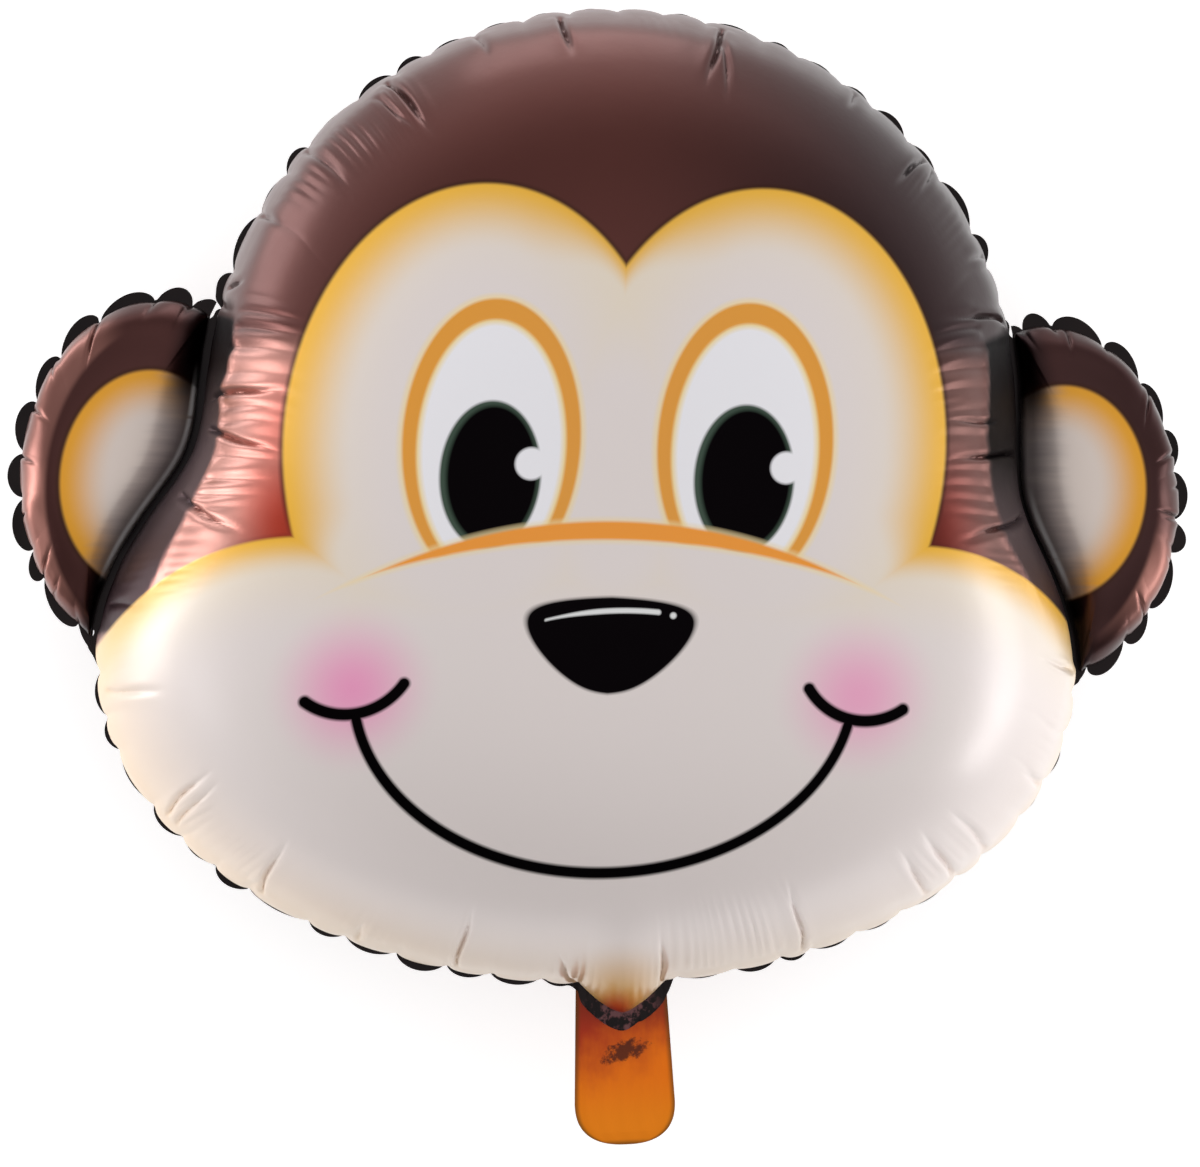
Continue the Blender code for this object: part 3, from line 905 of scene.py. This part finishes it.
def skinInk(book, x, y, rise, half, spot, mask):
    # cream, with gold at the mask's edge, warmer towards the rim and darker with painted shade along the
    # chin's rim, blush on the cheeks, orange at the neck
    upper = book.step(-0.110, -0.030, y)
    peak = book.step(0.0, 0.055, x.abs())
    cheeks = book.step(0.015, -0.020, y) * book.step(0.06, 0.12, x.abs())
    reach = (peak * 0.74 + 0.26) * (1 - cheeks * 0.45) * (-1.5 * face["rimFade"])
    edge = book.mix(upper, inks["creamEdge"], inks["gold"])
    skin = book.over(inks["cream"], (book.step(-0.060, 0.0, mask) * upper * 0.55, "creamWarm"))
    skin = book.mix(book.step(reach, 0.0, mask), skin, edge)
    nearRim = book.step(0.100, 0.024, rise)
    blush = book.step(face["blushRadius"], 0.0, half.distance(face["blushCentre"]))
    neck = spot.distance(face["neckTip"])
    return book.over(
        skin,
        (nearRim * (book.step(0.0, -0.16, x) * 0.50 + 0.10), "cheekEdge"),
        (book.step(0.050, 0.012, rise) * 0.45, "cheekEdge"),
        # a warm tone with painted shade along the chin's rim
        (nearRim * book.step(-0.17, -0.23, y) * 0.8, "chinEdge"),
        (blush * (0.70 + book.step(0.05, -0.05, x) * 0.12), "blush"),
        (book.step(face["neckYellow"], 0.010, neck), "neckYellow"),
        (book.step(face["neckOrange"], 0.004, neck), "tailTop"),
    )


def eyeInk(book, x, y, half, spot, skin):
    # the eyes are cut off below by the arc; gives the colour and where the ink is solid black
    above = inside(-arch(spot, *face["arcBottom"]))
    ring, white = ellipse(half, *face["eye"]), ellipse(half, *face["eyeWhite"])
    darkHalf = flat(book, (x - face["pupilDarkShift"]).abs(), y)
    pupilDark = inside(ellipse(darkHalf, *face["pupilDark"]), 0.0014) * above
    glint = inside(circle(flat(book, (x - face["glintShift"]).abs(), y), *face["glint"]))
    arc = arch(spot, *face["arcTop"]).max(-arch(spot, *face["arcBottom"]))
    arcHalo = inside(arc - 0.0020, 0.0014)
    skin = book.over(
        skin,
        (inside(ring - 0.0022, 0.0016) * above * 0.8, "eyeHalo"),
        (inside(ring) * above, "eyeRing"),
        (inside(white) * above, "eyeHalo"),
        (inside(white + 0.0022, 0.0016) * above, "eyeWhite"),
        (inside(ellipse(half, *face["pupil"])) * above, "pupilRim"),
        (pupilDark, "black"),
        (glint, "eyeWhite"),
        (arcHalo * 0.6, "eyeHalo"),
        (inside(arc), "arc"),
    )
    return skin, pupilDark * (1 - glint) * (1 - arcHalo)


def noseInk(book, x, half, spot, skin, solid):
    lid, lip = arch(spot, *face["noseTop"]), arch(spot, *face["noseBottom"])
    nose = rounded(lid, circle(half, *face["noseSide"]), face["noseRounding"])
    nose = inside(rounded(nose, lip, face["noseChinRounding"]) - face["noseTrim"])
    # a streak of light, bowed and tapering to the left, and a dot beside it
    glintX, glintY, bow, middle, halfLength, halfWidth = face["noseGlint"]
    bowed = circle(spot, (glintX, glintY - bow), bow)
    past = ((x - middle).abs() - halfLength).max(0.0)
    taper = book.step(middle - halfLength, middle, x) * 0.6 + 0.4
    streak = (bowed * bowed + past * past).sqrt() - taper * halfWidth
    shine = inside(streak.min(circle(spot, *face["noseDot"])), 0.0006)
    return book.over(skin, (nose, "black"), (shine, "nearWhite")), solid.max(nose) * (1 - shine)


def mouthInk(book, y, half, spot, skin, solid):
    smile = ellipse(spot, *face["mouth"]).abs() - face["lineHalf"]
    smile = smile.max(y - face["mouthTop"])
    (cx, cy), radius, lineHalf = face["dimpleCentre"], face["dimpleRadius"], face["lineHalf"] * 1.1
    middle, halfTurn = math.radians(face["dimpleMiddle"]), math.radians(face["dimpleHalfTurn"])
    across = half.vector("SUBTRACT", (cx, cy, 0))
    along = across.along((math.cos(middle), math.sin(middle)))
    sideways = across.along((-math.sin(middle), math.cos(middle))).abs()
    dimple = ((across.length() - radius).abs() - lineHalf).max(
        sideways * math.cos(halfTurn) - along * math.sin(halfTurn)
    )
    for end in (middle - halfTurn, middle + halfTurn):
        tip = (cx + radius * math.cos(end), cy + radius * math.sin(end))
        dimple = dimple.min(circle(half, tip, lineHalf))
    strokes = inside(smile.min(dimple))
    return book.over(skin, (strokes, "black")), solid.max(strokes)


def furInk(book, base, x, y, brow, dark):
    # brown, slate to the right; a painted coral highlight towards the mask beside the ears, most on the left;
    # painted shade by the weld
    left = book.step(0.05, -0.05, x)
    # painted highlight: coral beside the mask, redder lower down
    glow = book.step(0.150, 0.185, x.abs()) * book.step(0.112, 0.088, y) * (0.30 + left * 0.70)
    low = book.step(0.065, 0.0, y) * book.step(0.212, 0.178, x.abs())
    low = low.max(book.step(0.024, 0.002, brow) * book.step(0.105, 0.050, y) * left * 0.40)
    slate = book.step(-0.02, 0.16, x) * 0.94
    base = book.over(base, (slate + book.step(-0.06, -0.16, x) * 0.12, "slate"))
    base = book.mix(glow, base, book.mix(low, inks["bandHigh"], inks["bandLow"]))
    # painted shade by the weld beside the ears, grey below and black towards the top
    high = book.step(0.035, 0.095, y + book.step(0.0, 0.05, x) * 0.045)
    shade = book.mix(book.step(0.045, -0.02, y), inks["shade"], inks["shadeLow"])
    return book.mix(dark * 0.98, base, book.mix(high, shade, inks["black"])), slate, high


def faceInk(book, base):
    # the printed face over a base colour
    place, x, y, rise = printPlace(book)
    spot, half = flat(book, x, y), flat(book, x.abs(), y)
    brow = ellipse(half, *face["brow"])
    mask = brow.min(circle(half, *face["cheek"])).min(ellipse(half, *face["middle"]))
    mask = mask.min(y - face["chinTop"]).min(ellipse(half, *face["bridge"]))
    skin = skinInk(book, x, y, rise, half, spot, mask)
    skin, solid = eyeInk(book, x, y, half, spot, skin)
    skin, solid = noseInk(book, x, half, spot, skin, solid)
    skin, solid = mouthInk(book, y, half, spot, skin, solid)
    covered = inside(mask)
    # how dark the film is painted as shade beside the ears
    dark = book.printFade()
    base, slate, high = furInk(book, base, x, y, brow, dark)
    dull = dark * (high * 0.6 + 0.4) * (1 - covered)
    solid = solid.max(dull * high).max(slate * (1 - covered) * 0.9)
    line = outline(mask) * book.step(-0.02, 0.02, y)
    colour = book.over(book.mix(covered, base, skin), (line * 0.75, "maskLine"))
    return place, colour, covered, solid, dull


def innerEarInk(book, base):
    place, x, y, _ = printPlace(book)
    half = flat(book, x.abs(), y)
    patch = ellipse(half, *face["earPatch"])
    dark = book.printFade()
    left = book.step(0.05, -0.05, x)
    # painted shade towards the head in grey streaks, black at the top, and a painted highlight line along the
    # weld
    streaks = book.noise(flat(book, x * 14.0, y * 150.0), 1.0, 3.0, 0.6)
    streakedShade = book.step(0.25, 1.10, dark + (streaks - 0.5) * 0.60 + book.step(0.0, 0.07, y) * 0.18)
    high = book.step(0.056, 0.096, y)
    black = (high * book.step(0.20, 0.85, dark)).max(book.step(1.07, 1.11, dark))
    colour = book.over(
        inks["innerEar"],
        (book.step(-0.028, -0.002, patch), "innerEarGold"),
        (streakedShade * 0.88, "innerEarDark"),
        (black, "black"),
    )
    # painted shade: black over the ear's brown film close to the weld
    solid = black.max(book.step(0.55, 0.95, dark)) * 0.94
    # painted highlight along the weld, broken up where the streaks are low
    weldLine = inside((dark - 0.93).abs() * 0.026 - 0.0011, 0.0007) * book.step(-0.030, -0.010, y)
    weldLine = weldLine * book.step(0.0, 0.025, 0.095 - y - book.step(-0.05, 0.05, x) * 0.060)
    weldHighlight = weldLine * book.step(0.25, 0.42, streaks)
    # painted highlight where the oval's outer rim catches the light, more on the left ear
    lit = book.step(0.062, 0.020, y).max(left * 0.6)
    lit = lit * left.max(book.step(0.016, -0.012, y) * 0.8 + 0.10)
    oval = ellipse(half, (ear["centreOut"], ear["centreUp"]), (ear["halfWidth"], ear["halfHeight"]))
    strip = book.step(-0.0115, -0.0080, oval) * book.step(0.262, 0.280, x.abs())
    strip = strip * book.step(0.128, 0.098, y) * book.step(-0.055, -0.020, y)
    base = book.over(
        base,
        (solid, "black"),
        (book.step(0.20, 0.26, x) * 0.25 + 0.40, "slate"),
        (strip * lit * 0.9, "earRim"),
    )
    covered = inside(patch)
    colour = book.mix(covered, base, colour)
    colour = book.over(colour, (outline(patch) * 0.8, "maskLine"), (weldHighlight * 0.9, "scuff"))
    solid = black.max(solid * (1 - covered)) * (1 - weldHighlight)
    return place, colour, covered, solid


foilLook = {
    "roughness": 0.27,
    "metallic": 0.85,
    "creamMetallic": 0.07,
    "coat": 0.14,
    "coatRoughness": 0.20,
    "crinkleHeight": 0.0009,
}


def finishFoil(book, place, colour, metallic, coat=foilLook["coat"], dullness=0.0):
    # satin foil with a fine crinkle and faint streaks in its gloss
    grain = book.noise(place, 55.0, 3.0, 0.6)
    fine = book.noise(place, 240.0, 2.0, 0.5)
    crinkle = {"Strength": 0.12, "Distance": foilLook["crinkleHeight"], "Height": grain * 0.7 + fine * 0.3}
    book.feed("Base Color", colour)
    book.feed("Metallic", metallic)
    book.feed("Roughness", grain * 0.10 + foilLook["roughness"] + dullness)
    book.feed("Normal", book.node("ShaderNodeBump", {}, crinkle))
    book.feed("Coat Weight", coat)
    book.feed("Coat Roughness", foilLook["coatRoughness"])
    return book.material


def printedFront():
    book = ShaderBook("printedFaceFoil")
    place, colour, covered, solid, dull = faceInk(book, inks["brown"])
    metallic = foilLook["metallic"] + covered * (foilLook["creamMetallic"] - foilLook["metallic"])
    metallic = metallic.max(solid)  # the black ink swallows the foil's shine
    return finishFoil(book, place, colour, metallic, foilLook["coat"] * (1 - solid * 0.8), dull * 0.35)


def printedEar():
    book = ShaderBook("printedEarFoil")
    place, colour, covered, solid = innerEarInk(book, inks["brown"])
    metallic = (foilLook["metallic"] - covered * 0.6).max(solid)
    return finishFoil(book, place, colour, metallic, foilLook["coat"] * (1 - solid * 0.8))


def plainBack():
    book = ShaderBook("plainBrownFoil")
    place = book.place()
    colour = book.mix(book.noise(place, 6.0, 2.0), srgb(88, 46, 41), srgb(98, 54, 48))
    return finishFoil(book, place, colour, foilLook["metallic"])


def blackMargin():
    book = ShaderBook("blackWeldedFoil")
    place = book.place()
    colour = book.mix(book.noise(place, 30.0, 2.0), srgb(6, 3, 5), srgb(30, 22, 22))
    # at the neck the black is smeared with the tail's red
    tipX, tipY = face["neckTip"]
    neck = place.vector("DISTANCE", (middleX + tipX, middleY + tipY, weldZ), output=1)
    patches = book.noise(place, 150.0, 3.0, 0.65)
    smeared = book.step(0.46, 0.60, patches) * book.step(0.027, 0.012, neck)
    colour = book.over(colour, (smeared * 0.75, "neckSmear"))
    return finishFoil(book, place, colour, 0.9 - smeared * 0.6, 0.12)


tail = {
    "width": 0.0490,
    "length": 0.0885,
    "flare": 0.0055,
    "leanDegrees": 3.4,
    "corner": 0.0230,
    "halfDepth": 0.0017,
    "edgeDepth": 0.0005,
    "weld": 0.007,  # how far in from its edge the tail reaches its full depth
    "smudge": (0.0008, 0.0375),  # a dark printed smear, kept as an unreadable blot: across, down
    "top": -0.004,  # starts this far up under the head's rim
}


def tailFoil():
    book = ShaderBook("orangeTailFoil")
    place = book.place()
    lean = math.radians(tail["leanDegrees"])
    rooted = place.vector("SUBTRACT", (middleX + tailRootX, middleY + tailRootY, 0))
    across = rooted.along((math.cos(lean), math.sin(lean)))
    down = rooted.along((math.sin(lean), -math.cos(lean)))
    tone = book.noise(flat(book, across * 3.0, down), 34.0, 3.0, 0.6)
    clouds = book.noise(place, 46.0, 3.0, 0.6)
    cloudy = down + (tone - 0.5) * 0.022 + (clouds - 0.5) * 0.030 + across * 0.34
    blotX, blotY = across - tail["smudge"][0], down - tail["smudge"][1]
    slanted = blotY + blotX * 0.25
    blot = (blotX * blotX * 0.22 + slanted * slanted).sqrt()
    speck = book.noise(place, 240.0, 4.0, 0.75)
    colour = book.over(
        inks["tailTop"],
        (book.step(0.014, 0.058, cloudy), "tail"),
        # painted shadow just below the neck's weld
        (book.step(0.030, 0.014, down) * 0.35, "smudge"),
        (book.step(0.046, 0.080, down) * 0.55, "tailLow"),
        (book.step(0.0034, 0.0002, book.printFade()) * 0.7, "tailEdge"),
        (book.step(0.0062, 0.0030, blot + (speck - 0.5) * 0.014) * 0.88, "smudge"),
    )
    book.feed("Specular IOR Level", 0.2)
    return finishFoil(book, place, colour, 0.35, 0.03)


facePrint, earPrint, backFoil = printedFront(), printedEar(), plainBack()
marginFoil, tailPrint = blackMargin(), tailFoil()
print("materials made")

# points round each film and rings of them
grids = {"headFront": (1290, 76), "headBack": (900, 56), "earFront": (820, 56), "earBack": (400, 32)}
restDepth = weldZ - filmLift  # the back film lies flat on the floor this far below the weld

filmPiece("head_front_film", headDome, headFolds, *grids["headFront"], 1, facePrint)
filmPiece("head_back_film", headDome, backFolds, *grids["headBack"], -1, backFoil, restDepth, 2)
print("head film made")
for side, word in ((-1, "left"), (1, "right")):
    folds = {**earFolds, "creases": earCreases[side]}
    dome, front, back = earDomes[side], grids["earFront"], grids["earBack"]
    filmPiece(f"{word}_ear_front_film", dome, folds, *front, 1, earPrint, seed=3 + side)
    filmPiece(f"{word}_ear_back_film", dome, earFolds, *back, -1, backFoil, seed=6 + side)
print("ears made")

# Stretches of the head's margin, each an angle and its half length in radians
margins = {
    "widthChanges": ((-118, 0.85, 0.0006), (-94, 0.20, -0.0018), (-50, 0.52, -0.0016), (-140, 0.62, -0.0016)),
    "unevenAbove": ((130, 0.42), (42, 0.36)),
    "unevenBelow": (-110, 1.05),
    "earCorner": 0.0040,  # wider where it meets the ear's margin
    "underEar": 0.0015,  # goes this far under the ear's film past the weld
}


def headMarginWidth(angles):
    width = head["margin"]
    for at, half, change in margins["widthChanges"]:
        width = width + change * stretchAt(angles, at, half)
    width = width + margins["earCorner"] * np.exp(-(((earCloseness(angles) - 1.04) / 0.05) ** 2))
    width = width + earCover(angles) * (ear["weldWidth"] + margins["underEar"] - width)
    return width + neckShare(angles) * (head["neckWeld"] - width)


def headMarginUneven(angles):
    upperLeft, upperRight = (stretchAt(angles, *stretch) for stretch in margins["unevenAbove"])
    below = stretchAt(angles, *margins["unevenBelow"])
    return np.maximum(np.maximum(upperLeft, upperRight), 0.75 * below)


def headMarginLift(angles):
    return head["neckLift"] * neckShare(angles)


def earMarginWidth(angles, side):
    outer, weld = earReaches(side, angles)
    return np.where(outer < weld, ear["margin"], ear["weldMargin"])


marginPiece(
    "head_welded_margin", headDome, headMarginWidth, 1500, marginFoil, 4, headMarginUneven, headMarginLift
)
for side, word in ((-1, "left"), (1, "right")):
    widthAt = partial(earMarginWidth, side=side)
    marginPiece(f"{word}_ear_welded_margin", earDomes[side], widthAt, 560, marginFoil, 7 + side)
print("margins made")


def tailPlaces(across, down):
    # across runs -1 to 1 and down 0 to 1; gives places in the tail's own plane
    length = tail["top"] + (tail["length"] - tail["top"]) * down
    half = tail["width"] / 2 + tail["flare"] / 2 * np.clip(length / (tail["length"] - tail["corner"]), 0, 1)
    past = np.clip((length - tail["length"]) / tail["corner"] + 1, 0, 1)
    half = half * np.maximum(1 - past**2.5, 1e-4) ** 0.4
    return across * half, -length, half


def tailPiece():
    segments, rows = 40, 90
    bm = bmesh.new()
    kept = bm.verts.layers.float.new("printFade")
    bm.loops.layers.uv.new("UVMap")
    bmesh.ops.create_grid(bm, x_segments=segments, y_segments=rows, size=1, calc_uvs=True)
    lean = math.radians(tail["leanDegrees"])
    for vert in bm.verts:
        across, down = vert.co.x, math.sin((1 - vert.co.y) / 2 * math.pi / 2)
        x, y, half = tailPlaces(across, down)
        fromEdge = min((1 - abs(across)) * half, tail["length"] + y)
        vert[kept] = fromEdge
        fill = min(1, max(0, fromEdge / tail["weld"]))
        ripple = 0.00016 * math.sin(x * 620 + 2 * math.sin(y * 70)) * fill
        depth = tail["edgeDepth"] + (tail["halfDepth"] - tail["edgeDepth"]) * fill**0.6 + ripple
        turnedX = x * math.cos(lean) - y * math.sin(lean)
        turnedY = x * math.sin(lean) + y * math.cos(lean)
        vert.co = (middleX + tailRootX + turnedX, middleY + tailRootY + turnedY, depth)
    lower = bmesh.ops.extrude_face_region(bm, geom=bm.faces[:])
    for item in lower["geom"]:
        if isinstance(item, bmesh.types.BMVert):
            item.co.z = -item.co.z
    bmesh.ops.translate(bm, verts=bm.verts, vec=(0, 0, weldZ))
    piece = finishPiece("inflation_tail", bm, 1, tailPrint)
    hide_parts("front_sheet", "back_sheet")


tailPiece()
print("tail made")

# Camera at the photograph's viewing angle: nearly straight above, a little from the left and below
view = {
    "distance": 2.0,
    "yawDegrees": 2.7,
    "pitchDegrees": 1.0,
    "rollDegrees": 1.5,
    "target": (0.0, -0.0237),  # from the middle of the head, in the weld plane
    "frameWidth": 0.6530,  # metres across the picture in the weld plane
    "sensor": 36.0,
}


def addCamera():
    yaw, pitch, roll = (math.radians(view[key]) for key in ("yawDegrees", "pitchDegrees", "rollDegrees"))
    back = Vector((-math.sin(yaw), -math.sin(pitch), 0))
    back.z = math.sqrt(1 - back.length_squared)
    right = Vector((math.cos(roll), math.sin(roll), 0))
    right = (right - back * right.dot(back)).normalized()
    up = back.cross(right)
    target = Vector((middleX + view["target"][0], middleY + view["target"][1], weldZ))
    data = bpy.data.cameras.new("camera")
    data.sensor_width = view["sensor"]
    data.lens = view["sensor"] * view["distance"] / view["frameWidth"]
    data.clip_start, data.clip_end = 0.05, 50
    camera = addObject("camera", data)
    turn = Matrix((right, up, back)).transposed().to_4x4()
    camera.matrix_world = Matrix.Translation(target + back * view["distance"]) @ turn
    bpy.context.scene.camera = camera


studio = {
    # place, size and power of each lamp
    "leftLow": ((-1.20, -0.02, 0.14), (0.44, 0.26), 1.7),
    "leftSide": ((-1.15, 0.20, 0.27), (0.36, 0.26), 1.15),
    "leftBelow": ((-1.15, -0.40, 0.55), (0.34, 0.20), 0.25),
    "leftAbove": ((-0.58, 0.41, 0.07), (0.26, 0.12), 0.36),
    "topLow": ((-0.05, 0.74, 0.07), (0.40, 0.12), 0.36),
    "rightLow": ((1.20, -0.05, 0.32), (0.56, 0.34), 2.0),
    "rightBelow": ((1.10, -0.45, 0.32), (0.34, 0.18), 1.15),
}
sky = {
    # brightness of the studio towards each side, at these heights over the horizon (sines)
    "heights": (0.0, 0.10, 0.25, 0.45, 0.70, 1.0),
    "left": ((-1, 0, 0), (0.00, 0.30, 0.55, 0.25, 0.15, 0.51)),
    "right": ((1, 0, 0), (0.00, 0.02, 0.05, 0.12, 0.43, 0.51)),
    "top": ((0, 1, 0), (1.80, 1.05, 0.66, 0.33, 0.42, 0.52)),
    "bottom": ((0, -1, 0), (0.00, 0.00, 0.00, 0.05, 0.20, 0.52)),
}
lampAim = (0, 0, 0.19)
room = {
    "floorHalf": 6,
    "floorGlow": 0.50,
    "wallRadius": 5.8,
    "wallHeight": 9,
    "wallFoot": -0.1,
}


def addLamps():
    for name, (place, size, power) in studio.items():
        data = bpy.data.lights.new(name, "AREA")
        data.shape, data.size, data.size_y = "RECTANGLE", size[0], size[1]
        data.energy = power
        lamp = addObject(name, data)
        lamp.location = place
        aim = Vector(lampAim) - lamp.location
        lamp.rotation_euler = aim.to_track_quat("-Z", "Y").to_euler()
        lamp.visible_camera = False


def addSky():
    world = bpy.data.worlds.new("studio")
    book = ShaderBook("studio", world)
    direction = book.node("ShaderNodeTexCoord", {}, {}, 0)
    height = book.node("ShaderNodeSeparateXYZ", {}, [direction], 2)
    level = direction.vector("MULTIPLY", (1, 1, 0)).vector("NORMALIZE")
    total = 0.0
    scale = 4  # a ramp holds no value above 1
    for side in ("left", "right", "top", "bottom"):
        way, levels = sky[side]
        greys = [(value / scale, value / scale, value / scale, 1) for value in levels]
        shade = book.node("ShaderNodeValToRGB", {"stops": list(zip(sky["heights"], greys))}, [height])
        towards = level.vector("DOT_PRODUCT", way, output=1) * 0.5 + 0.5
        total = towards * shade * scale + total
    book.feed("Color", (1, 1, 1, 1))
    book.feed("Strength", total)
    bpy.context.scene.world = world


def paleMaterial(name, tone, roughness, glow):
    book = ShaderBook(name)
    book.feed("Base Color", (tone, tone, tone, 1))
    book.feed("Roughness", roughness)
    book.feed("Emission Color", (1, 1, 1, 1))
    book.feed("Emission Strength", glow)
    return book.material


def addFloor():
    bm = bmesh.new()
    bmesh.ops.create_grid(bm, x_segments=1, y_segments=1, size=room["floorHalf"])
    meshObject("floor", bm, paleMaterial("paleFloor", 0.9, 0.9, room["floorGlow"]))


def addWall():
    # a white wall round the floor, behind the object in views from the side
    bm = bmesh.new()
    radius, height = room["wallRadius"], room["wallHeight"]
    bmesh.ops.create_cone(bm, cap_ends=True, segments=96, radius1=radius, radius2=radius, depth=height)
    bmesh.ops.translate(bm, verts=bm.verts, vec=(0, 0, room["wallFoot"] + height / 2))
    bmesh.ops.reverse_faces(bm, faces=bm.faces)
    wall = meshObject("wall", bm, paleMaterial("paleWall", 0.0, 0.5, 1.0))
    wall.visible_diffuse = wall.visible_glossy = wall.visible_shadow = wall.visible_transmission = False


addCamera()
addLamps()
addSky()
addFloor()
addWall()
bpy.context.scene.view_settings.view_transform = "Standard"
print("camera, lights and floor placed")

bpy.context.view_layer.update()
